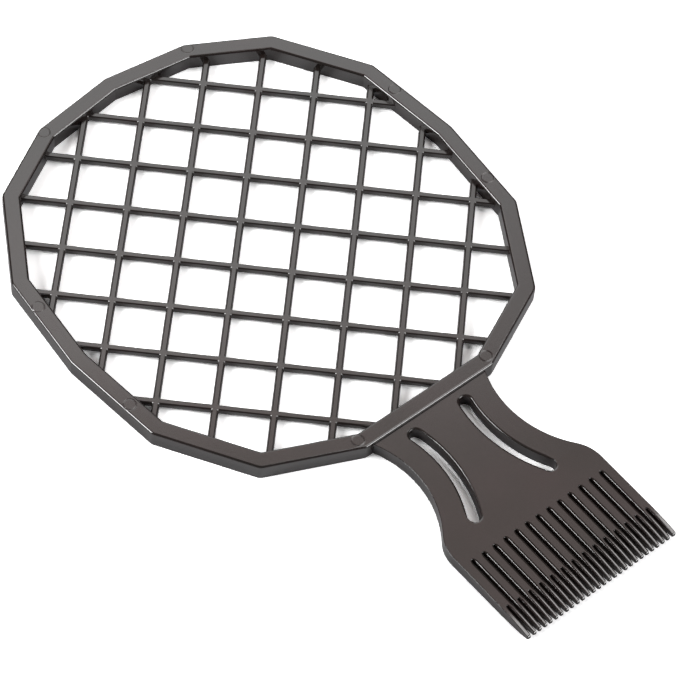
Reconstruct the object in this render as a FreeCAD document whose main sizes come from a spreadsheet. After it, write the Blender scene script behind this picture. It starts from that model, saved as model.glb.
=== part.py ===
"""Lattice pick comb: a flat hand tool with a many-sided head that holds a diagonal lattice, a waisted
handle plate with two curved slots, and a comb with forked tines at the far end.

Frame: X across, +Y towards the end of the head, +Z up. The origin is on the flat underside, at the
middle of the overall length and width. Millimetres.
"""

import FreeCAD
import Part
import Sketcher
import math
import os

# The driving sizes, in millimetres.
SIZES = {
    # Head: a ring of straight sides.
    "head_length": 165.1,
    "head_width": 156.5,
    "rim_width": 5.8,
    "rim_height": 5.8,
    "rim_corner_radius": 3.0,
    "rim_edge_radius": 0.8,
    # Lattice: two crossing families of bars with a six-sided section, flush with each other.
    "lattice_pitch": 18.4,
    "bar_width": 2.45,
    "bar_flat": 1.75,
    "bar_height": 2.3,
    "bar_rise": 1.0,
    # Handle: a plate that is drawn in to a waist, with a curved slot beside each edge.
    "plate_thickness": 4.7,
    "waist_width": 38.9,
    "waist_radius": 36.0,
    "waist_drop": 15.2,
    "shoulder_radius": 13.0,
    "slot_inset": 10.35,
    "slot_width": 4.4,
    "slot_top_margin": 5.1,
    "slot_end_margin": 7.4,
    # Comb: long slots part the tines, and a short slot forks each tine into two teeth.
    "comb_width": 60.5,
    "comb_back_length": 4.0,
    "taper_lead": 7.0,
    "tip_thickness": 3.4,
    "long_slot_length": 30.5,
    "long_slot_width": 1.0,
    "short_slot_length": 12.0,
    "short_slot_width": 0.8,
    "short_slot_mouth": 1.1,
    "outer_margin": 1.91,
}
TINE_COUNT = 14
BAR_ANGLE = 45

# Corners of the rim's right half, from the handle side up to the end: the share of the half width
# across, and the share of the head's length up from the handle side.
RIM_CORNER_SHARES = [
    (0.3290, 0.0),
    (0.7210, 0.0852),
    (0.9562, 0.2675),
    (1.0, 0.4876),
    (0.9538, 0.7036),
    (0.7140, 0.8866),
    (0.3822, 0.9749),
]
# The lattice is centred level with the widest corners.
WIDEST_SHARE = RIM_CORNER_SHARES[3][1]

doc = FreeCAD.newDocument("lattice_pick_comb")
sheet = doc.addObject("Spreadsheet::Sheet", "sizes")
for row, (name, number) in enumerate(SIZES.items(), start=1):
    sheet.set("A%d" % row, name)
    sheet.set("B%d" % row, str(number))
    sheet.setAlias("B%d" % row, name)
doc.recompute()


class Size:
    """A length worked out from the sheet: its number now, and the expression that keeps it bound."""

    def __init__(self, number, text):
        self.number = number
        self.text = text

    def __add__(self, other):
        other = as_size(other)
        return Size(self.number + other.number, "(%s + %s)" % (self.text, other.text))

    def __sub__(self, other):
        other = as_size(other)
        return Size(self.number - other.number, "(%s - %s)" % (self.text, other.text))

    def __mul__(self, other):
        other = as_size(other)
        return Size(self.number * other.number, "(%s * %s)" % (self.text, other.text))

    def __truediv__(self, other):
        other = as_size(other)
        return Size(self.number / other.number, "(%s / %s)" % (self.text, other.text))

    def __neg__(self):
        return Size(-self.number, "(0 - %s)" % self.text)


def as_size(value):
    if isinstance(value, Size):
        return value
    return Size(value, "(%r)" % value)


def root(size):
    return Size(math.sqrt(size.number), "sqrt(%s)" % size.text)


def cell(name):
    return Size(float(sheet.get(name)), "sizes.%s" % name)


NOTHING = Size(0, "0")

# Places worked out from the sizes.
head_half = cell("head_width") / 2
comb_half = cell("comb_width") / 2
waist_reach = cell("waist_width") / 2 + cell("waist_radius")
arcs_reach = cell("waist_radius") + cell("shoulder_radius")
arcs_across = waist_reach - comb_half + cell("shoulder_radius")
arcs_fall = root(arcs_reach * arcs_reach - arcs_across * arcs_across)
plate_length = cell("waist_drop") + arcs_fall
overall_length = cell("head_length") + plate_length + cell("comb_back_length") + cell("long_slot_length")
head_foot = overall_length / 2 - cell("head_length")
waist_level = head_foot - cell("waist_drop")
shoulder_level = head_foot - plate_length
slot_root = shoulder_level - cell("comb_back_length")
tips = -(overall_length / 2)
long_half = cell("long_slot_width") / 2
tine_start = slot_root - long_half
fork_half = cell("short_slot_width") / 2
fork_level = tips + cell("short_slot_length") - fork_half
tooth_pitch = (comb_half - cell("outer_margin")) / (TINE_COUNT - 1)
lattice_centre = head_foot + cell("head_length") * WIDEST_SHARE


def bind(thing, prop, size):
    thing.setExpression(prop, size.text)


def draw_outline(name, corners, arcs=None, turn=None):
    """A closed sketch through the corners. An arc replaces the side after its corner: it is given
    by its centre, the way it runs and the axis along which the centre is held."""
    arcs = arcs or {}
    sketch = doc.addObject("Sketcher::SketchObject", name)
    if turn is not None:
        sketch.Placement = FreeCAD.Placement(FreeCAD.Vector(), turn)
    spots = [FreeCAD.Vector(x.number, y.number, 0) for x, y in corners]
    ends = []
    for index, start in enumerate(spots):
        stop = spots[(index + 1) % len(spots)]
        if index not in arcs:
            number = sketch.addGeometry(Part.LineSegment(start, stop), False)
            ends.append((number, 1, 2))
            continue
        (across, along), anticlockwise, held = arcs[index]
        centre = FreeCAD.Vector(across.number, along.number, 0)
        circle = Part.Circle(centre, FreeCAD.Vector(0, 0, 1), start.distanceToPoint(centre))
        from_angle = math.atan2(start.y - centre.y, start.x - centre.x)
        to_angle = math.atan2(stop.y - centre.y, stop.x - centre.x)
        if not anticlockwise:
            from_angle, to_angle = to_angle, from_angle
        if to_angle <= from_angle:
            to_angle += 2 * math.pi
        number = sketch.addGeometry(Part.ArcOfCircle(circle, from_angle, to_angle), False)
        ends.append((number, 1, 2) if anticlockwise else (number, 2, 1))
    for index, (number, first, last) in enumerate(ends):
        following, follow_first, _ = ends[(index + 1) % len(ends)]
        sketch.addConstraint(Sketcher.Constraint("Coincident", number, last, following, follow_first))
        across, along = corners[index]
        hold(sketch, "DistanceX", number, first, across)
        hold(sketch, "DistanceY", number, first, along)
        if index in arcs:
            (across, along), _, held = arcs[index]
            hold(sketch, "Distance" + held, number, 3, across if held == "X" else along)
    return sketch


def hold(sketch, kind, number, point, size):
    """Hold a point of the sketch at a bound distance from the origin along one axis."""
    index = sketch.addConstraint(Sketcher.Constraint(kind, -1, 1, number, point, size.number))
    bind(sketch, "Constraints[%d]" % index, size)


def extrude(name, source, length, symmetric=False):
    solid = doc.addObject("Part::Extrusion", name)
    solid.Base = source
    solid.DirMode = "Normal"
    solid.Symmetric = symmetric
    solid.Solid = True
    bind(solid, "LengthFwd", length)
    return solid


def overlap(name, first, second):
    common = doc.addObject("Part::Common", name)
    common.Base = first
    common.Tool = second
    return common


def remove(name, first, second):
    cut = doc.addObject("Part::Cut", name)
    cut.Base = first
    cut.Tool = second
    return cut


def gather(name, shapes):
    joined = doc.addObject("Part::MultiFuse", name)
    joined.Shapes = shapes
    return joined


def round_edges(name, base, radius, wanted):
    """Round the edges of the base that the wanted test picks by both of their ends."""
    doc.recompute()
    picked = []
    for index, edge in enumerate(base.Shape.Edges, start=1):
        if wanted(edge.Vertexes[0].Point, edge.Vertexes[-1].Point):
            picked.append((index, radius, radius))
    fillet = doc.addObject("Part::Fillet", name)
    fillet.Base = base
    fillet.Edges = picked
    return fillet


def near(first, second):
    return abs(first - second) < 1e-6 * SIZES["head_length"]


def rim_corners():
    right = []
    for across_share, along_share in RIM_CORNER_SHARES:
        right.append((head_half * across_share, head_foot + cell("head_length") * along_share))
    top = [(NOTHING, overall_length / 2)]
    left = [(-across, along) for across, along in reversed(right)]
    return right + top + left


def make_rim(outline, opening):
    """The ring of the head. Its outer corners and its upper edges are rounded."""
    blank = extrude("rim_blank", outline, cell("rim_height"))
    corner_radius = SIZES["rim_corner_radius"]
    rounded = round_edges("rim_rounded", blank, corner_radius, lambda a, b: not near(a.z, b.z))
    ring = remove("rim_ring", rounded, opening)
    level = SIZES["rim_height"]
    edge_radius = min(SIZES["rim_edge_radius"], SIZES["rim_width"] / 3)
    return round_edges("rim", ring, edge_radius, lambda a, b: near(a.z, level) and near(b.z, level))


def bar_section():
    """Six-sided section of a bar: widest at half its height, with flat upper and lower faces."""
    foot = cell("bar_rise")
    middle = foot + cell("bar_height") / 2
    top = foot + cell("bar_height")
    side = cell("bar_width") / 2
    flat = cell("bar_flat") / 2
    corners = [(flat, foot), (side, middle), (flat, top), (-flat, top), (-side, middle), (-flat, foot)]
    upright = FreeCAD.Rotation(FreeCAD.Vector(1, 0, 0), 90)
    return draw_outline("bar_section", corners, turn=upright)


def bar_blank(name, section, angle, offset):
    """A bar along the whole head, turned by the angle and moved sideways by the offset."""
    bar = extrude(name, section, cell("head_length") + cell("head_width"), symmetric=True)
    bar.Placement = FreeCAD.Placement(FreeCAD.Vector(), FreeCAD.Rotation(FreeCAD.Vector(0, 0, 1), angle))
    bind(bar, "Placement.Base.x", offset * math.cos(math.radians(angle)))
    bind(bar, "Placement.Base.y", lattice_centre + offset * math.sin(math.radians(angle)))
    return bar


def bar_offsets(angle):
    """Sideways places of the bars on either side of the lattice's centre that fall in the opening."""
    across = math.cos(math.radians(angle))
    along = math.sin(math.radians(angle))
    reaches = []
    for x, y in rim_corners():
        reaches.append(x.number * across + (y.number - lattice_centre.number) * along)
    edge = SIZES["rim_width"] + SIZES["bar_width"]
    pitch = SIZES["lattice_pitch"]
    lowest = math.ceil((min(reaches) + edge) / pitch - 0.5)
    highest = math.floor((max(reaches) - edge) / pitch - 0.5)
    return [cell("lattice_pitch") * (step + 0.5) for step in range(lowest, highest + 1)]


def make_lattice(opening):
    """The bars of one family run through, and those of the other fill the stretches between them."""
    section = bar_section()
    through = []
    for index, offset in enumerate(bar_offsets(BAR_ANGLE), start=1):
        blank = bar_blank("through_blank_%d" % index, section, BAR_ANGLE, offset)
        through.append(overlap("lattice_bar_%d" % index, blank, opening))
    crossed = gather("through_bars", through)
    between = []
    for index, offset in enumerate(bar_offsets(-BAR_ANGLE), start=1):
        blank = bar_blank("cross_blank_%d" % index, section, -BAR_ANGLE, offset)
        inside = overlap("cross_inside_%d" % index, blank, opening)
        between.append(remove("lattice_cross_bar_%d" % index, inside, crossed))
    return through + between


def side_profile():
    """Side view of the handle and the comb: an even plate that thins from both faces to round tips."""
    thickness = cell("plate_thickness")
    middle = thickness / 2
    tip_half = cell("tip_thickness") / 2
    taper = shoulder_level + cell("taper_lead")
    nose = tips + tip_half
    corners = [
        (head_foot, NOTHING),
        (head_foot, thickness),
        (taper, thickness),
        (nose, middle + tip_half),
        (nose, middle - tip_half),
        (taper, NOTHING),
    ]
    arcs = {3: ((nose, middle), True, "X")}
    facing = FreeCAD.Rotation(FreeCAD.Vector(0, 1, 0), FreeCAD.Vector(0, 0, 1), FreeCAD.Vector(1, 0, 0), "ZXY")
    sketch = draw_outline("side_profile", corners, arcs, facing)
    return extrude("side_solid", sketch, cell("comb_width") * 2, symmetric=True)


def slot_outline(name):
    """The curved slot on the right, along an arc about the centre of the waist's curve."""
    line_radius = cell("waist_radius") + cell("slot_inset")
    half = cell("slot_width") / 2
    ends = []
    for level in (head_foot - cell("slot_top_margin"), shoulder_level + cell("slot_end_margin")):
        rise = (level - waist_level) / line_radius
        reach = root(as_size(1) - rise * rise)
        ends.append((rise, reach))

    def spot(radius, end):
        rise, reach = end
        return waist_reach - radius * reach, waist_level + radius * rise

    centre = (waist_reach, waist_level)
    inner = line_radius - half
    outer = line_radius + half
    upper, lower = ends
    corners = [spot(outer, upper), spot(outer, lower), spot(inner, lower), spot(inner, upper)]
    arcs = {
        0: (centre, True, "X"),
        1: (spot(line_radius, lower), True, "Y"),
        2: (centre, False, "X"),
        3: (spot(line_radius, upper), True, "Y"),
    }
    return draw_outline(name, corners, arcs)


def make_handle(profile):
    """The waisted plate from the rim's foot to the middles of the long slots' round ends."""
    square = cell("waist_radius") * cell("waist_radius") - cell("waist_drop") * cell("waist_drop")
    shoulder_centre = comb_half - cell("shoulder_radius")
    share = cell("waist_radius") / arcs_reach
    meet_across = waist_reach - (waist_reach - shoulder_centre) * share
    meet_along = waist_level - (waist_level - shoulder_level) * share
    top = (waist_reach - root(square), head_foot)
    meet = (meet_across, meet_along)
    side = [(comb_half, tine_start), (comb_half, shoulder_level), meet, top]
    corners = side + [(-across, along) for across, along in reversed(side)]
    arcs = {
        1: ((shoulder_centre, shoulder_level), True, "Y"),
        2: ((waist_reach, waist_level), False, "Y"),
        4: ((-waist_reach, waist_level), False, "Y"),
        5: ((-shoulder_centre, shoulder_level), True, "Y"),
    }
    for index in range(TINE_COUNT - 1):
        centre = tooth_pitch * (2 * (index + 1) - TINE_COUNT)
        arcs[len(corners)] = ((centre, tine_start), False, "Y")
        corners.append((centre - long_half, tine_start))
        corners.append((centre + long_half, tine_start))
    plate = extrude("plate", draw_outline("plate_outline", corners, arcs), cell("plate_thickness"))
    slot = extrude("slot_right", slot_outline("slot_outline"), cell("plate_thickness"))
    mirrored = doc.addObject("Part::Mirroring", "slot_left")
    mirrored.Source = slot
    mirrored.Normal = FreeCAD.Vector(1, 0, 0)
    pierced = remove("plate_pierced", plate, gather("slots", [slot, mirrored]))
    return overlap("handle", pierced, profile)


def tine_sides(index):
    """The middle of a tine's short slot and the tine's two sides."""
    centre = tooth_pitch * (2 * index + 1 - TINE_COUNT)
    left = centre - tooth_pitch + long_half
    right = centre + tooth_pitch - long_half
    if index == 0:
        left = -comb_half
    if index == TINE_COUNT - 1:
        right = comb_half
    return centre, left, right


def make_tine(index, profile):
    """One tine between two long slots, down to the middle of its short slot's round end."""
    name = "tine_%02d" % (index + 1)
    centre, left, right = tine_sides(index)
    corners = [
        (right, tine_start),
        (left, tine_start),
        (left, fork_level),
        (centre - fork_half, fork_level),
        (centre + fork_half, fork_level),
        (right, fork_level),
    ]
    arcs = {3: ((centre, fork_level), False, "Y")}
    blank = extrude(name + "_blank", draw_outline(name + "_outline", corners, arcs), cell("plate_thickness"))
    return overlap(name, blank, profile)


def make_tooth(index, first, profile):
    """One of the two teeth of a tine. It narrows towards its round tip beside the short slot."""
    name = "tooth_%02d" % (2 * index + (1 if first else 2))
    centre, left, right = tine_sides(index)
    mouth = cell("short_slot_mouth") / 2
    if first:
        foot = (left, centre - fork_half)
        end = (left, centre - mouth)
    else:
        foot = (centre + fork_half, right)
        end = (centre + mouth, right)
    radius = (end[1] - end[0]) / 2
    level = tips + radius
    corners = [(foot[1], fork_level), (foot[0], fork_level), (end[0], level), (end[1], level)]
    arcs = {2: ((end[0] + radius, level), True, "Y")}
    blank = extrude(name + "_blank", draw_outline(name + "_outline", corners, arcs), cell("plate_thickness"))
    return overlap(name, blank, profile)


outline = draw_outline("rim_outline", rim_corners())
inner_outline = doc.addObject("Part::Offset2D", "opening_outline")
inner_outline.Source = outline
inner_outline.Join = 2
bind(inner_outline, "Value", -cell("rim_width"))
opening = extrude("opening", inner_outline, cell("rim_height"))
profile = side_profile()

nodes = [make_rim(outline, opening)]
nodes += make_lattice(opening)
nodes.append(make_handle(profile))
for index in range(TINE_COUNT):
    nodes.append(make_tine(index, profile))
    nodes.append(make_tooth(index, True, profile))
    nodes.append(make_tooth(index, False, profile))
doc.recompute()

for thing in doc.Objects:
    if "Invalid" in thing.State or "Error" in thing.State:
        raise RuntimeError("%s could not be made" % thing.Name)
for node in nodes:
    if node.Shape.isNull() or not node.Shape.isValid() or not node.Shape.Solids:
        raise RuntimeError("%s has no sound shape" % node.Name)

os.makedirs("parts", exist_ok=True)
for node in nodes:
    node.Label = node.Name
    node.Shape.exportStep(os.path.join("parts", node.Label + ".step"))
    box = node.Shape.BoundBox
    print("%-22s solids %d volume %.1f x %.2f..%.2f y %.2f..%.2f z %.2f..%.2f" % (
        node.Label, len(node.Shape.Solids), node.Shape.Volume,
        box.XMin, box.XMax, box.YMin, box.YMax, box.ZMin, box.ZMax))
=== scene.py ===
"""Lattice pick comb in black moulded plastic, lying on a pale floor. Metres, in the frame of the
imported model: X across, +Y towards the end of the head, +Z up, origin on the underside."""

import math

import bmesh
import bpy
from mathutils import Matrix, Vector


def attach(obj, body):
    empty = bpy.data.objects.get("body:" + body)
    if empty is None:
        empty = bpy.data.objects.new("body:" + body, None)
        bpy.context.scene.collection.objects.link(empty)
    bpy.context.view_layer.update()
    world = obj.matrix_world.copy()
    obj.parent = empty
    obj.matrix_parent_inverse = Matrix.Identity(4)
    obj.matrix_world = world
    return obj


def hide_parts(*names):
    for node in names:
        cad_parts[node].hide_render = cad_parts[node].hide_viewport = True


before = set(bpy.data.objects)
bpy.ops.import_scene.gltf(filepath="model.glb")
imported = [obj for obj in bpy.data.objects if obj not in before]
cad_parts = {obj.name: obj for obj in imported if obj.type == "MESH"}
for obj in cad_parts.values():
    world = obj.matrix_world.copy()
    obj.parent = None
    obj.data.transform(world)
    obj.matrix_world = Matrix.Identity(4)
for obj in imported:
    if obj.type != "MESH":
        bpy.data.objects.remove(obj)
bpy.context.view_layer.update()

MM = 0.001

# Head
HEAD_LENGTH = 165.1 * MM
HEAD_WIDTH = 156.5 * MM
RIM_WIDTH = 5.8 * MM
RIM_HEIGHT = 5.8 * MM
RIM_OUTER_CORNER = 3.0 * MM
RIM_INNER_CORNER = 1.2 * MM
RIM_EDGE = 0.7 * MM  # radius of the upper edges
RIM_SEAT = 0.9 * MM  # how far the handle plate reaches into the rim
LATTICE_SEAT = 1.6 * MM  # how far the lattice reaches into the rim
# Corners of the rim's right half from the handle side up: across as a share of half the head's width,
# and up from the handle side as a share of its length.
RIM_CORNER_SHARES = [
    (0.3290, 0.0),
    (0.7210, 0.0852),
    (0.9562, 0.2675),
    (1.0, 0.4876),
    (0.9538, 0.7036),
    (0.7140, 0.8866),
    (0.3822, 0.9749),
]

# Lattice
LATTICE_PITCH = 18.4 * MM
BAR_WIDTH = 2.45 * MM  # at mid-height
BAR_FLAT = 1.75 * MM  # on the upper and lower faces
BAR_HEIGHT = 2.3 * MM
BAR_RISE = 1.0 * MM  # from the underside of the rim
BAR_EDGE = 0.36 * MM
BAR_EDGE_STEPS = [(0.3, 0.6), (0.7, 0.4)]  # in and up round a bar's edge, as shares of BAR_EDGE
CELL_CORNER = 0.15 * MM
CELL_CORNER_SHARE = 0.3  # the most of a cell's shortest side that its corners may take
CELLS_EACH_WAY = 5
LEAST_CELL = 1.5 * MM * MM  # smaller openings are filled

# Handle plate
PLATE_THICKNESS = 4.7 * MM
WAIST_HALF = 19.45 * MM
WAIST_RADIUS = 36.0 * MM
WAIST_DROP = 15.2 * MM  # from the foot of the head to the narrowest place
SHOULDER_RADIUS = 13.0 * MM
SLOT_INSET = 10.35 * MM  # from the waist's edge to the middle line of the curved slot
SLOT_WIDTH = 4.4 * MM
SLOT_TOP_MARGIN = 5.1 * MM  # below the foot of the head
SLOT_END_MARGIN = 7.4 * MM  # above the shoulders
SLOT_EDGE = 0.3 * MM  # radius of the upper edges
SLOT_SLOPE = 0.4 * MM  # width of the gentle slope beyond them
SLOPE_TILT = math.radians(16)
SLOT_REACH = 17.0 * MM  # the curved slots lie within this distance of the middle

# Comb
TINE_COUNT = 14
COMB_HALF = 30.25 * MM
COMB_BACK = 4.0 * MM  # the solid part between the shoulders and the long slots
TAPER_LEAD = 7.0 * MM  # how far above the shoulders the thickness starts to fall
TIP_THICKNESS = 3.4 * MM
BEND_LENGTH = 12.7 * MM  # the part towards the tips where each face bends further in
BEND_DROP = 1.05 * MM
BEND_STEPS = 8
NOSE_RADIUS = 0.9 * MM
NOSE_STEP = 12  # degrees round the nose
LONG_SLOT_LENGTH = 30.5 * MM
LONG_SLOT_WIDTH = 1.0 * MM
SHORT_SLOT_LENGTH = 12.0 * MM
SHORT_SLOT_WIDTH = 0.8 * MM
SHORT_SLOT_MOUTH = 1.1 * MM
OUTER_MARGIN = 1.91 * MM  # from the comb's side to the middle of the nearest short slot
EDGE_LEAD = 0.8 * MM  # over which the rounding of an edge changes its size

# How large the rounding of the upper edges is in places, as a share of that along the curved slots
OUTSIDE_SHARE = 0.35
TINE_SHARE = 1.0
SLOT_END_SHARE = 0.4
TOOTH_SHARE = 0.72
TIP_SHARE = 0.66

# Rings left by the ejector pins on the rim: across and along, and the same on the other side
PIN_PLACES = [
    (29.75 * MM, 116.35 * MM),
    (73.5 * MM, 61.25 * MM),
    (73.5 * MM, 14.55 * MM),
    (26.2 * MM, -38.75 * MM),
]
PIN_RADIUS = 2.0 * MM
PIN_GROOVE = 0.3 * MM
PIN_DEPTH = 0.055 * MM

# Places that follow from the sizes
WAIST_REACH = WAIST_HALF + WAIST_RADIUS
ARCS_REACH = WAIST_RADIUS + SHOULDER_RADIUS
ARCS_FALL = math.sqrt(ARCS_REACH ** 2 - (WAIST_REACH - COMB_HALF + SHOULDER_RADIUS) ** 2)
PLATE_LENGTH = WAIST_DROP + ARCS_FALL
OVERALL_LENGTH = HEAD_LENGTH + PLATE_LENGTH + COMB_BACK + LONG_SLOT_LENGTH
HEAD_FOOT = OVERALL_LENGTH / 2 - HEAD_LENGTH
WAIST_LEVEL = HEAD_FOOT - WAIST_DROP
SHOULDER_LEVEL = HEAD_FOOT - PLATE_LENGTH
SLOT_ROOT = SHOULDER_LEVEL - COMB_BACK
TIPS = -OVERALL_LENGTH / 2
TOOTH_PITCH = (COMB_HALF - OUTER_MARGIN) / (TINE_COUNT - 1)
LATTICE_CENTRE = HEAD_FOOT + HEAD_LENGTH * max(RIM_CORNER_SHARES)[1]

# How finely the meshes are made
RIM_EDGE_STEPS = 5
SLOT_EDGE_STEPS = 4
CORNER_STEP = math.radians(9)
CORNER_FIT = 0.999  # keeps the two ends of a fully rounded side apart
ARC_STEP = math.radians(3)
LEAST_ARC_STEPS = 6
SMALL_ARC = 2 * MM
OUTLINE_MERGE = 0.004 * MM
MESH_MERGE = 0.002 * MM
CUT_MERGE = 0.001 * MM
FILL_TURN = math.radians(17)
SMOOTH_BELOW = math.radians(35)
LEVEL_ABOVE = math.cos(math.radians(2))

# Plastic
PLASTIC_COOL = (0.0095, 0.0108, 0.0088, 1)
PLASTIC_WARM = (0.0205, 0.0104, 0.0100, 1)
PLASTIC_ROUGHNESS = (0.14, 0.2)
PLASTIC_IOR = 1.65
PLASTIC_SPECULAR = 0.75
MOTTLE_SCALE = 45
GRAIN_SCALE = 2600
GRAIN_DEPTH = 0.05 * MM
GRAIN_STRENGTH = 0.06

# Surroundings: what the object sees, and what the camera sees
FLOOR_HALF = 3.0
FLOOR_TONE = (0.55, 0.55, 0.56, 1)
FLOOR_TONE_SEEN = (1.7, 1.7, 1.7, 1)
WORLD_LEVEL = 0.05
WORLD_LEVEL_SEEN = 1.0
WHITE = (1, 1, 1, 1)

# Camera
CAMERA_PLACE = Vector((-458.5 * MM, -469.3 * MM, 900.5 * MM))
CAMERA_AIM = Vector((-3.41 * MM, -3.12 * MM, 0))
CAMERA_ROLL = math.radians(5.57)
CAMERA_LENS = 186.67  # millimetres, as the sensor's width below
CAMERA_SENSOR = 36
CAMERA_NEAR = 50 * MM
CAMERA_FAR = 20.0


def rim_corners():
    """The 15 corners of the rim's outside, all the way round."""
    right = [
        (HEAD_WIDTH / 2 * across, HEAD_FOOT + HEAD_LENGTH * up) for across, up in RIM_CORNER_SHARES
    ]
    left = [(-x, y) for x, y in reversed(right)]
    return right + [(0, OVERALL_LENGTH / 2)] + left


def flat_outline(mesh, corners, level):
    """A flat face through the corners. Each is x, y and, where it is rounded, the radius."""
    points = [mesh.verts.new((corner[0], corner[1], level)) for corner in corners]
    face = mesh.faces.new(points)
    face.normal_update()
    if face.normal.z < 0:
        face.normal_flip()
    count = len(corners)
    turns = []
    for index in range(count):
        before = Vector(corners[index - 1][:2])
        here = Vector(corners[index][:2])
        after = Vector(corners[(index + 1) % count][:2])
        turns.append((here - before).angle(after - here))
    for point, corner, turn in zip(points, corners, turns):
        radius = corner[2] if len(corner) > 2 else 0
        if radius <= 0:
            continue
        bmesh.ops.bevel(
            mesh, geom=[point], offset=radius * math.tan(turn / 2) * CORNER_FIT, offset_type="OFFSET",
            segments=max(2, math.ceil(turn / CORNER_STEP)), profile=0.5, affect="VERTICES", material=-1,
        )
    bmesh.ops.remove_doubles(mesh, verts=mesh.verts, dist=OUTLINE_MERGE)


def cut_through(mesh, point, across, clear_outer=False):
    """Cut the whole mesh along the plane through the point, square to the direction across."""
    bmesh.ops.bisect_plane(
        mesh, geom=mesh.verts[:] + mesh.edges[:] + mesh.faces[:], dist=CUT_MERGE,
        plane_co=point, plane_no=across, clear_outer=clear_outer,
    )


def quarter_cuts(level):
    """Two cuts through the middle at that level, one along and one across."""
    middle = (0, level, 0)
    return [(middle, (1, 0, 0)), (middle, (0, 1, 0))]


def fill_between(outer, holes, cuts=()):
    """Turn the outer outline into one flat sheet that leaves the holes open.

    Cuts, each a point and a direction across the cut, divide it into a few large faces that each
    have no hole in them."""
    for hole in holes:
        temporary = bpy.data.meshes.new("hole")
        hole.to_mesh(temporary)
        outer.from_mesh(temporary)
        bpy.data.meshes.remove(temporary)
        hole.free()
    bmesh.ops.delete(outer, geom=outer.faces[:], context="FACES_ONLY")
    # Turned askew for the fill, so that no two points lie at the same level.
    askew = Matrix.Rotation(FILL_TURN, 3, "Z")
    bmesh.ops.rotate(outer, verts=outer.verts, cent=(0, 0, 0), matrix=askew)
    bmesh.ops.triangle_fill(
        outer, use_beauty=True, use_dissolve=False, edges=outer.edges[:], normal=(0, 0, 1),
    )
    bmesh.ops.rotate(outer, verts=outer.verts, cent=(0, 0, 0), matrix=askew.inverted())
    for face in outer.faces:
        face.normal_update()
        if face.normal.z < 0:
            face.normal_flip()
    if not cuts:
        return
    for point, across in cuts:
        cut_through(outer, point, across)
    parts = {}
    for face in outer.faces:
        centre = face.calc_center_median()
        part = tuple((centre - Vector(point)).dot(Vector(across)) > 0 for point, across in cuts)
        parts.setdefault(part, []).append(face)
    for faces in parts.values():
        bmesh.ops.dissolve_faces(outer, faces=faces, use_verts=False)
    between = [
        vertex for vertex in outer.verts
        if len(vertex.link_edges) == 2 and all(len(edge.link_faces) == 2 for edge in vertex.link_edges)
    ]
    bmesh.ops.dissolve_verts(outer, verts=between)


def edge_steps(count, fillet, slope=0, tilt=0):
    """Steps in and up from an upright wall, round the fillet and then along a slope if there is one."""
    steps = []
    reach = rise = 0
    for index in range(1, count + 1):
        turn = math.pi / 2 + (tilt - math.pi / 2) * index / count
        next_reach = fillet * (1 - math.sin(turn))
        next_rise = fillet * math.cos(turn)
        steps.append((next_reach - reach, next_rise - rise))
        reach = next_reach
        rise = next_rise
    if slope > 0:
        steps.append((slope, slope * math.tan(tilt)))
    return steps


def inset(sheet, faces, inward, upward):
    """Move the border of the faces in and the faces up. Returns the new ring and the moved points."""
    ring = bmesh.ops.inset_region(
        sheet, faces=faces, thickness=inward, depth=0, use_boundary=True, use_even_offset=True,
    )
    moved = {vertex for face in faces for vertex in face.verts}
    bmesh.ops.translate(sheet, verts=list(moved), vec=(0, 0, upward))
    return ring["faces"], moved


def thicken(sheet, height, steps, softness=None):
    """Raise the flat sheet to a solid of that height with its upper edges rounded in those steps.

    Where softness is given, it says for each place how many times as large the rounding is there."""
    drop = sum(upward for inward, upward in steps)
    raised = bmesh.ops.extrude_face_region(sheet, geom=sheet.faces[:], use_keep_orig=True)
    top = [item for item in raised["geom"] if isinstance(item, bmesh.types.BMFace)]
    lifted = [item for item in raised["geom"] if isinstance(item, bmesh.types.BMVert)]
    bmesh.ops.translate(sheet, verts=lifted, vec=(0, 0, height - drop))
    bottom = [face for face in sheet.faces if face.normal.z > 0.5 and face not in set(top)]
    bmesh.ops.reverse_faces(sheet, faces=bottom)
    # Every point of the rounding remembers the place on the upright wall that it started from.
    start = {vertex: vertex.co.copy() for vertex in lifted}
    for inward, upward in steps:
        ring, moved = inset(sheet, top, inward, upward)
        for face in ring:
            for side in face.edges:
                one, other = side.verts
                if (one in moved) != (other in moved):
                    known = start[one] if one in start else start[other]
                    start[one] = start[other] = known
    if softness is None:
        return
    for vertex, place in start.items():
        times = softness(place)
        vertex.co.x = place.x + (vertex.co.x - place.x) * times
        vertex.co.y = place.y + (vertex.co.y - place.y) * times
        vertex.co.z = height - (height - vertex.co.z) * times


def mark_edges(sheet):
    """Divide the large faces, and mark the steep edges and those round level faces as sharp."""
    large = [face for face in sheet.faces if len(face.verts) > 4]
    bmesh.ops.triangulate(sheet, faces=large, quad_method="BEAUTY", ngon_method="BEAUTY")
    bmesh.ops.recalc_face_normals(sheet, faces=sheet.faces[:])
    for edge in sheet.edges:
        level = [abs(face.normal.z) > LEVEL_ABOVE for face in edge.link_faces]
        alike = len(level) == 2 and level[0] == level[1]
        edge.smooth = alike and edge.calc_face_angle() < SMOOTH_BELOW


def finish_piece(sheet, name, material, nodes):
    """Turn the mesh into an object that stands for the nodes."""
    bmesh.ops.remove_doubles(sheet, verts=sheet.verts, dist=MESH_MERGE)
    bmesh.ops.recalc_face_normals(sheet, faces=sheet.faces[:])
    for face in sheet.faces:
        face.smooth = True
    mesh = bpy.data.meshes.new(name)
    sheet.to_mesh(mesh)
    sheet.free()
    mesh.materials.append(material)
    piece = bpy.data.objects.new(name, mesh)
    bpy.context.scene.collection.objects.link(piece)
    even = piece.modifiers.new("even_shading", "WEIGHTED_NORMAL")
    even.mode = "FACE_AREA"
    even.weight = 100
    even.keep_sharp = True
    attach(piece, "root")
    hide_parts(*nodes)


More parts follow.
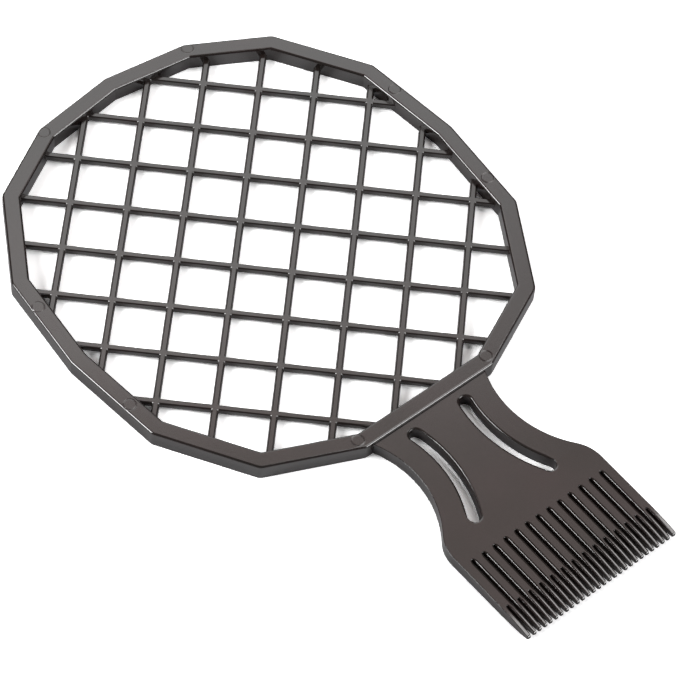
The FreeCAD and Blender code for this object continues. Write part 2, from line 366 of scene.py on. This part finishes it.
def offset_corners(corners, inward):
    """The rim's corners moved inward, side by side."""
    moved = []
    count = len(corners)
    for index in range(count):
        before = Vector(corners[index - 1])
        here = Vector(corners[index])
        after = Vector(corners[(index + 1) % count])
        first = (here - before).normalized()
        second = (after - here).normalized()
        normal_one = Vector((-first.y, first.x))
        normal_two = Vector((-second.y, second.x))
        bisector = (normal_one + normal_two).normalized()
        moved.append(here + bisector * inward / bisector.dot(normal_one))
    return moved


def make_rim(material):
    """The ring of straight sides, with rounded corners and upper edges."""
    corners = rim_corners()
    sheet = bmesh.new()
    flat_outline(sheet, [(x, y, RIM_OUTER_CORNER) for x, y in corners], 0)
    opening = bmesh.new()
    flat_outline(opening, [(x, y, RIM_INNER_CORNER) for x, y in offset_corners(corners, RIM_WIDTH)], 0)
    fill_between(sheet, [opening], quarter_cuts(LATTICE_CENTRE))
    thicken(sheet, RIM_HEIGHT, edge_steps(RIM_EDGE_STEPS, RIM_EDGE))
    mark_edges(sheet)
    finish_piece(sheet, "rim_ring", material, ["rim"])


def lattice_cell(column, row, level, inner):
    """The outline of one opening, cut off where it meets the rim. None where next to nothing is left."""
    cell = bmesh.new()
    bmesh.ops.create_grid(cell, x_segments=1, y_segments=1, size=(LATTICE_PITCH - BAR_WIDTH) / 2)
    spot = (column * LATTICE_PITCH, row * LATTICE_PITCH, 0)
    bmesh.ops.translate(cell, verts=cell.verts, vec=spot)
    diagonal = Matrix.Rotation(math.radians(45), 3, "Z")
    bmesh.ops.rotate(cell, verts=cell.verts, cent=(0, 0, 0), matrix=diagonal)
    bmesh.ops.translate(cell, verts=cell.verts, vec=(0, LATTICE_CENTRE, level))
    for index, corner in enumerate(inner):
        side = inner[(index + 1) % len(inner)] - corner
        cut_through(cell, (corner.x, corner.y, 0), (side.y, -side.x, 0), clear_outer=True)
    rounded = None
    if sum(face.calc_area() for face in cell.faces) >= LEAST_CELL:
        face = cell.faces[:][0]
        shortest = min(edge.calc_length() for edge in face.edges)
        radius = min(CELL_CORNER, shortest * CELL_CORNER_SHARE)
        rounded = bmesh.new()
        flat_outline(rounded, [(loop.vert.co.x, loop.vert.co.y, radius) for loop in face.loops], level)
    cell.free()
    return rounded


def make_lattice(material, nodes):
    """One open grid of two families of bars, flush with each other and let into the rim."""
    inner = offset_corners(rim_corners(), RIM_WIDTH)
    seat = offset_corners(rim_corners(), RIM_WIDTH - LATTICE_SEAT)
    middle = BAR_RISE + BAR_HEIGHT / 2
    sheet = bmesh.new()
    flat_outline(sheet, [(point.x, point.y) for point in seat], middle)
    reach = range(-CELLS_EACH_WAY, CELLS_EACH_WAY + 1)
    cells = [lattice_cell(column, row, middle, inner) for column in reach for row in reach]
    fill_between(sheet, [cell for cell in cells if cell is not None])
    # The bars slope from their middle to the flat faces above and below, with softened edges.
    (soft_in, soft_up), (last_in, last_up) = BAR_EDGE_STEPS
    slope = (BAR_WIDTH - BAR_FLAT) / 2
    steps = [
        (slope - BAR_EDGE * soft_in, BAR_HEIGHT / 2 - BAR_EDGE),
        (BAR_EDGE * soft_in, BAR_EDGE * soft_up),
        (BAR_EDGE * last_in, BAR_EDGE * last_up),
    ]
    upper = sheet.faces[:]
    doubled = bmesh.ops.duplicate(sheet, geom=sheet.verts[:] + sheet.edges[:] + sheet.faces[:])
    lower = [item for item in doubled["geom"] if isinstance(item, bmesh.types.BMFace)]
    for faces, way in ((upper, 1), (lower, -1)):
        for inward, upward in steps:
            inset(sheet, faces, inward, upward * way)
    bmesh.ops.remove_doubles(sheet, verts=sheet.verts, dist=MESH_MERGE)
    mark_edges(sheet)
    finish_piece(sheet, "lattice_grid", material, nodes)


def draw_to(mesh, last, across, along):
    """Carry an outline straight on to the next point, or start one there. Returns that point."""
    point = mesh.verts.new((across, along, 0))
    if last is not None:
        mesh.edges.new((last, point))
    return point


def swing(mesh, last, across, along, angle):
    """Carry an outline on along an arc about the centre. Positive angles run anticlockwise."""
    steps = max(LEAST_ARC_STEPS, math.ceil(abs(angle) / ARC_STEP))
    if (last.co - Vector((across, along, 0))).length < SMALL_ARC:
        steps = LEAST_ARC_STEPS
    swung = bmesh.ops.spin(
        mesh, geom=[last], cent=(across, along, 0), axis=(0, 0, 1), angle=angle, steps=steps,
        use_duplicate=False,
    )
    return [item for item in swung["geom_last"] if isinstance(item, bmesh.types.BMVert)][0]


def comb_outline(mesh):
    """The handle plate and the comb as one outline, from the right of the waist round all the teeth."""
    turn = math.asin(ARCS_FALL / ARCS_REACH)
    lead = math.asin((WAIST_DROP + RIM_SEAT) / WAIST_RADIUS)
    shoulder = COMB_HALF - SHOULDER_RADIUS
    long_half = LONG_SLOT_WIDTH / 2
    short_half = SHORT_SLOT_WIDTH / 2
    mouth = SHORT_SLOT_MOUTH / 2
    fork = TIPS + SHORT_SLOT_LENGTH - short_half
    root = SLOT_ROOT - long_half
    # Half the width of a short slot a little below its root, where its edges' rounding changes size.
    near = (mouth * EDGE_LEAD + short_half * (SHORT_SLOT_LENGTH - EDGE_LEAD)) / SHORT_SLOT_LENGTH
    first = draw_to(mesh, None, WAIST_REACH - WAIST_RADIUS * math.cos(lead), HEAD_FOOT + RIM_SEAT)
    last = swing(mesh, first, WAIST_REACH, WAIST_LEVEL, lead + turn)
    last = swing(mesh, last, shoulder, SHOULDER_LEVEL, -turn)
    for index in reversed(range(TINE_COUNT)):
        if index < TINE_COUNT - 1:
            for level in (root - EDGE_LEAD, fork, fork - EDGE_LEAD):
                last = draw_to(mesh, last, TOOTH_PITCH * (2 * index + 2 - TINE_COUNT) - long_half, level)
        centre = TOOTH_PITCH * (2 * index + 1 - TINE_COUNT)
        right = COMB_HALF if index == TINE_COUNT - 1 else centre + TOOTH_PITCH - long_half
        left = -COMB_HALF if index == 0 else centre - TOOTH_PITCH + long_half
        right_round = (right - centre - mouth) / 2
        left_round = (centre - mouth - left) / 2
        last = draw_to(mesh, last, right, TIPS + right_round)
        last = swing(mesh, last, right - right_round, TIPS + right_round, -math.pi)
        last = draw_to(mesh, last, centre + near, fork - EDGE_LEAD)
        last = draw_to(mesh, last, centre + short_half, fork)
        last = swing(mesh, last, centre, fork, math.pi)
        last = draw_to(mesh, last, centre - near, fork - EDGE_LEAD)
        last = draw_to(mesh, last, centre - mouth, TIPS + left_round)
        last = swing(mesh, last, left + left_round, TIPS + left_round, -math.pi)
        if index > 0:
            for level in (fork - EDGE_LEAD, fork, root - EDGE_LEAD, root):
                last = draw_to(mesh, last, left, level)
            last = swing(mesh, last, left - long_half, root, math.pi)
    last = draw_to(mesh, last, -COMB_HALF, SHOULDER_LEVEL)
    last = swing(mesh, last, -shoulder, SHOULDER_LEVEL, -turn)
    last = swing(mesh, last, -WAIST_REACH, WAIST_LEVEL, lead + turn)
    mesh.edges.new((last, first))


def curved_slot(side):
    """The slot beside one edge of the waist, along an arc about the centre of the waist's curve.

    The side is 1 for the right one and -1 for the left one."""
    slot = bmesh.new()
    line = WAIST_RADIUS + SLOT_INSET
    half = SLOT_WIDTH / 2
    top = math.asin((HEAD_FOOT - SLOT_TOP_MARGIN - WAIST_LEVEL) / line)
    end = math.asin((SHOULDER_LEVEL + SLOT_END_MARGIN - WAIST_LEVEL) / line)

    def spot(radius, angle):
        """The place at that angle on a circle about the centre of the waist's curve."""
        return WAIST_REACH - radius * math.cos(angle), WAIST_LEVEL + radius * math.sin(angle)

    first = draw_to(slot, None, *spot(line + half, top))
    last = swing(slot, first, WAIST_REACH, WAIST_LEVEL, top - end)
    last = swing(slot, last, *spot(line, end), math.pi)
    last = swing(slot, last, WAIST_REACH, WAIST_LEVEL, end - top)
    last = swing(slot, last, *spot(line, top), math.pi)
    bmesh.ops.remove_doubles(slot, verts=slot.verts, dist=OUTLINE_MERGE)
    if side < 0:
        bmesh.ops.scale(slot, verts=slot.verts, vec=(-1, 1, 1))
    return slot


def make_comb(material, nodes):
    """The handle plate with its two curved slots, and the comb whose tines fork into two teeth each."""
    sheet = bmesh.new()
    comb_outline(sheet)
    fill_between(sheet, [curved_slot(1), curved_slot(-1)], quarter_cuts(WAIST_LEVEL))
    fork = TIPS + SHORT_SLOT_LENGTH - SHORT_SLOT_WIDTH / 2
    above_slots = SLOT_ROOT + MM
    comb_side = COMB_HALF - 0.05 * MM

    def part_way(level, first, second):
        """0 up to the first level, 1 from the second on, and evenly between them."""
        return min(1, max(0, (level - first) / (second - first)))

    def softness(place):
        """How large the rounding is: small outside and at the slots' ends, larger along the tines."""
        if place.y > above_slots:
            return 1 if abs(place.x) < SLOT_REACH else OUTSIDE_SHARE
        if abs(place.x) > comb_side:
            return OUTSIDE_SHARE
        share = TIP_SHARE + (TOOTH_SHARE - TIP_SHARE) * part_way(place.y, TIPS, fork - EDGE_LEAD)
        beside_long_slot = round(abs(place.x) / TOOTH_PITCH) % 2 == 0
        if beside_long_slot:
            root = SLOT_ROOT - LONG_SLOT_WIDTH / 2
            share += (TINE_SHARE - TOOTH_SHARE) * part_way(place.y, fork - EDGE_LEAD, fork)
            return share + (SLOT_END_SHARE - TINE_SHARE) * part_way(place.y, root - EDGE_LEAD, SLOT_ROOT)
        return share + (SLOT_END_SHARE - TOOTH_SHARE) * part_way(place.y, fork - EDGE_LEAD, fork)

    steps = edge_steps(SLOT_EDGE_STEPS, SLOT_EDGE, SLOT_SLOPE, SLOPE_TILT)
    thicken(sheet, PLATE_THICKNESS, steps, softness)
    mark_edges(sheet)
    # Both faces slope together, bend further along the teeth and end in round noses.
    middle = PLATE_THICKNESS / 2
    taper = SHOULDER_LEVEL + TAPER_LEAD
    bend = TIPS + BEND_LENGTH
    nose = TIPS + NOSE_RADIUS

    def half_height(level):
        """Half the thickness that far along the comb, before the nose."""
        half = middle + (TIP_THICKNESS / 2 - middle) * part_way(level, taper, TIPS)
        return half - BEND_DROP * part_way(level, bend, TIPS) ** 2

    levels = [taper] + [bend - (bend - nose) * step / BEND_STEPS for step in range(BEND_STEPS)]
    levels += [nose - NOSE_RADIUS * math.sin(math.radians(turn)) for turn in range(0, 90, NOSE_STEP)]
    for level in levels:
        cut_through(sheet, (0, level, 0), (0, 1, 0))
    for vertex in sheet.verts:
        if vertex.co.y >= taper:
            continue
        half = half_height(max(nose, vertex.co.y))
        if vertex.co.y < nose:
            half *= math.sqrt(max(0, 1 - ((nose - vertex.co.y) / NOSE_RADIUS) ** 2))
        vertex.co.z = middle + (vertex.co.z - middle) * half / middle
    finish_piece(sheet, "handle_and_comb", material, nodes)


def new_material(name):
    """A material without any nodes yet."""
    material = bpy.data.materials.new(name)
    material.use_nodes = True
    material.node_tree.nodes.clear()
    return material


def pin_mark_group():
    """A mask of the round groove left by an ejector pin, on both sides of the middle."""
    group = bpy.data.node_groups.new("pin_mark", "ShaderNodeTree")
    group.interface.new_socket("Place", in_out="INPUT", socket_type="NodeSocketVector")
    group.interface.new_socket("Across", in_out="INPUT", socket_type="NodeSocketFloat")
    group.interface.new_socket("Along", in_out="INPUT", socket_type="NodeSocketFloat")
    group.interface.new_socket("Groove", in_out="OUTPUT", socket_type="NodeSocketFloat")
    nodes = group.nodes
    links = group.links
    given = nodes.new("NodeGroupInput")
    result = nodes.new("NodeGroupOutput")
    split = nodes.new("ShaderNodeSeparateXYZ")
    links.new(given.outputs["Place"], split.inputs["Vector"])

    def math_node(operation, first, second=None):
        node = nodes.new("ShaderNodeMath")
        node.operation = operation
        for socket, value in zip(node.inputs, (first, second)):
            if value is None:
                continue
            if isinstance(value, float):
                socket.default_value = value
            else:
                links.new(value, socket)
        return node.outputs["Value"]

    across = math_node("SUBTRACT", math_node("ABSOLUTE", split.outputs["X"]), given.outputs["Across"])
    along = math_node("SUBTRACT", split.outputs["Y"], given.outputs["Along"])
    squares = math_node("ADD", math_node("MULTIPLY", across, across), math_node("MULTIPLY", along, along))
    off_ring = math_node("ABSOLUTE", math_node("SUBTRACT", math_node("SQRT", squares), PIN_RADIUS))
    groove = nodes.new("ShaderNodeMapRange")
    groove.interpolation_type = "SMOOTHSTEP"
    groove.inputs["From Max"].default_value = PIN_GROOVE
    groove.inputs["To Min"].default_value = 1
    groove.inputs["To Max"].default_value = 0
    links.new(off_ring, groove.inputs["Value"])
    links.new(groove.outputs["Result"], result.inputs["Groove"])
    return group


def black_plastic():
    """Satin black moulded plastic: fine grain, slow changes of tone and gloss, and the pins' rings."""
    material = new_material("black_moulded_plastic")
    tree = material.node_tree
    nodes = tree.nodes
    links = tree.links
    output = nodes.new("ShaderNodeOutputMaterial")
    shader = nodes.new("ShaderNodeBsdfPrincipled")
    links.new(shader.outputs["BSDF"], output.inputs["Surface"])
    shader.inputs["IOR"].default_value = PLASTIC_IOR
    shader.inputs["Specular IOR Level"].default_value = PLASTIC_SPECULAR
    place = nodes.new("ShaderNodeTexCoord")
    mottle = nodes.new("ShaderNodeTexNoise")
    mottle.inputs["Scale"].default_value = MOTTLE_SCALE
    mottle.inputs["Detail"].default_value = 3
    links.new(place.outputs["Object"], mottle.inputs["Vector"])
    tone = nodes.new("ShaderNodeMix")
    tone.data_type = "RGBA"
    tone.inputs["A"].default_value = PLASTIC_COOL
    tone.inputs["B"].default_value = PLASTIC_WARM
    links.new(mottle.outputs["Fac"], tone.inputs["Factor"])
    links.new(tone.outputs["Result"], shader.inputs["Base Color"])
    gloss = nodes.new("ShaderNodeMapRange")
    gloss.inputs["To Min"].default_value = PLASTIC_ROUGHNESS[0]
    gloss.inputs["To Max"].default_value = PLASTIC_ROUGHNESS[1]
    links.new(mottle.outputs["Fac"], gloss.inputs["Value"])
    links.new(gloss.outputs["Result"], shader.inputs["Roughness"])
    mark = pin_mark_group()
    grooves = None
    for across, along in PIN_PLACES:
        ring = nodes.new("ShaderNodeGroup")
        ring.node_tree = mark
        links.new(place.outputs["Object"], ring.inputs["Place"])
        ring.inputs["Across"].default_value = across
        ring.inputs["Along"].default_value = along
        if grooves is None:
            grooves = ring.outputs["Groove"]
            continue
        total = nodes.new("ShaderNodeMath")
        total.operation = "ADD"
        links.new(grooves, total.inputs[0])
        links.new(ring.outputs["Groove"], total.inputs[1])
        grooves = total.outputs["Value"]
    rings = nodes.new("ShaderNodeBump")
    rings.invert = True
    rings.inputs["Distance"].default_value = PIN_DEPTH
    links.new(grooves, rings.inputs["Height"])
    grain = nodes.new("ShaderNodeTexNoise")
    grain.inputs["Scale"].default_value = GRAIN_SCALE
    grain.inputs["Detail"].default_value = 2
    links.new(place.outputs["Object"], grain.inputs["Vector"])
    bump = nodes.new("ShaderNodeBump")
    bump.inputs["Strength"].default_value = GRAIN_STRENGTH
    bump.inputs["Distance"].default_value = GRAIN_DEPTH
    links.new(grain.outputs["Fac"], bump.inputs["Height"])
    links.new(rings.outputs["Normal"], bump.inputs["Normal"])
    links.new(bump.outputs["Normal"], shader.inputs["Normal"])
    return material


def floor_material():
    """Matt white floor, exposed for the camera so that only the shade close to the object is left."""
    material = new_material("white_floor")
    tree = material.node_tree
    nodes = tree.nodes
    links = tree.links
    output = nodes.new("ShaderNodeOutputMaterial")
    matt = nodes.new("ShaderNodeBsdfDiffuse")
    rays = nodes.new("ShaderNodeLightPath")
    tone = nodes.new("ShaderNodeMix")
    tone.data_type = "RGBA"
    tone.inputs["A"].default_value = FLOOR_TONE
    tone.inputs["B"].default_value = FLOOR_TONE_SEEN
    links.new(rays.outputs["Is Camera Ray"], tone.inputs["Factor"])
    links.new(tone.outputs["Result"], matt.inputs["Color"])
    links.new(matt.outputs["BSDF"], output.inputs["Surface"])
    return material


def make_floor():
    """The floor that the object lies on."""
    sheet = bmesh.new()
    bmesh.ops.create_grid(sheet, x_segments=1, y_segments=1, size=FLOOR_HALF)
    mesh = bpy.data.meshes.new("floor")
    sheet.to_mesh(mesh)
    sheet.free()
    mesh.materials.append(floor_material())
    floor = bpy.data.objects.new("floor", mesh)
    bpy.context.scene.collection.objects.link(floor)


def make_world():
    """Dim surroundings for the object, white for the camera."""
    world = bpy.data.worlds.new("studio")
    bpy.context.scene.world = world
    world.use_nodes = True
    nodes = world.node_tree.nodes
    links = world.node_tree.links
    nodes.clear()
    output = nodes.new("ShaderNodeOutputWorld")
    soft = nodes.new("ShaderNodeBackground")
    soft.inputs["Color"].default_value = WHITE
    soft.inputs["Strength"].default_value = WORLD_LEVEL
    white = nodes.new("ShaderNodeBackground")
    white.inputs["Color"].default_value = WHITE
    white.inputs["Strength"].default_value = WORLD_LEVEL_SEEN
    rays = nodes.new("ShaderNodeLightPath")
    mix = nodes.new("ShaderNodeMixShader")
    links.new(rays.outputs["Is Camera Ray"], mix.inputs["Fac"])
    links.new(soft.outputs["Background"], mix.inputs[1])
    links.new(white.outputs["Background"], mix.inputs[2])
    links.new(mix.outputs["Shader"], output.inputs["Surface"])


def soft_box(name, direction, along, distance, width, length, power, tint=(1, 1, 1)):
    """A soft light that faces the object from that direction, with its length along the other."""
    data = bpy.data.lights.new(name, "AREA")
    data.shape = "RECTANGLE"
    data.size = width
    data.size_y = length
    data.energy = power
    data.color = tint
    lamp = bpy.data.objects.new(name, data)
    way = Vector(direction).normalized()
    across = Vector(along).cross(way).normalized()
    turn = Matrix((across, way.cross(across), way)).transposed()
    lamp.matrix_world = Matrix.Translation(way * distance) @ turn.to_4x4()
    bpy.context.scene.collection.objects.link(lamp)


def make_camera():
    """A long lens, looking down at the object from the left of the comb's end."""
    data = bpy.data.cameras.new("camera")
    data.sensor_width = CAMERA_SENSOR
    data.lens = CAMERA_LENS
    data.clip_start = CAMERA_NEAR
    data.clip_end = CAMERA_FAR
    camera = bpy.data.objects.new("camera", data)
    level_turn = (CAMERA_PLACE - CAMERA_AIM).to_track_quat("Z", "Y")
    turn = level_turn.to_matrix().to_4x4() @ Matrix.Rotation(CAMERA_ROLL, 4, "Z")
    camera.matrix_world = Matrix.Translation(CAMERA_PLACE) @ turn
    bpy.context.scene.collection.objects.link(camera)
    bpy.context.scene.camera = camera


plastic = black_plastic()
names = sorted(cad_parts)
make_rim(plastic)
make_lattice(plastic, [name for name in names if name.startswith("lattice")])
make_comb(plastic, [name for name in names if name.startswith(("handle", "tine", "tooth"))])
make_floor()
make_world()
soft_box(
    "left_box", (-0.686, 0.404, 0.595), along=(0.66, 0, 0.75), distance=1.2, width=0.55, length=0.6,
    power=15,
)
soft_box(
    "right_box", (0.416, -0.70, 0.576), along=(0, 0, 1), distance=1.2, width=0.75, length=0.5, power=10.5,
)
soft_box(
    "far_box", (0.415, 0.713, 0.565), along=(0, 0, 1), distance=1.4, width=0.82, length=1.11, power=4.1,
)
soft_box(
    "front_box", (0.42, 0, 0.907), along=(0, 1, 0), distance=1.38, width=0.6, length=0.32, power=2.3,
)
soft_box(
    "high_box", (0.307, 0.307, 0.901), along=(0, 0, 1), distance=1.4, width=1.3, length=0.49, power=1.2,
    tint=(1, 0.82, 0.78),
)
make_camera()

bpy.context.scene.view_settings.view_transform = "Standard"
